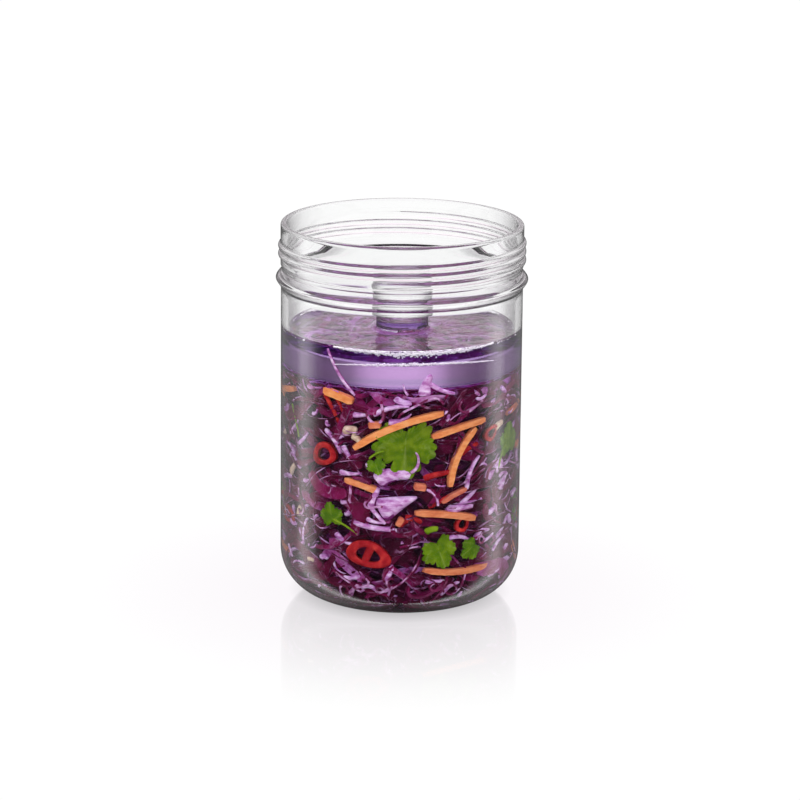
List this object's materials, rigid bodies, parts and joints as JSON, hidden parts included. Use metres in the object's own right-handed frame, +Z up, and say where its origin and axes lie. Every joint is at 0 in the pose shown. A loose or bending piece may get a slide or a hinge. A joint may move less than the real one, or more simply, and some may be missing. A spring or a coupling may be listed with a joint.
{
  "type": "fermentation jar",
  "caption": "Open wide-mouth glass jar with a screw neck, filled with shredded vegetables in brine under a glass weight with a round knob.",
  "frame": {"origin": "centre of the underside, on the surface the jar stands on", "axes": "+Z up along the jar's axis; -Y is the side shown in the picture, +X to its right"},
  "size_m": [0.1042, 0.1042, 0.158],
  "materials": {
    "jar": "clear, smooth",
    "weight": "clear, smooth",
    "vegetables": "wet, uneven"
  },
  "bodies": {
    "root": {"jar": "jar", "weight": "weight", "vegetables": "vegetables"}
  },
  "joints": []
}
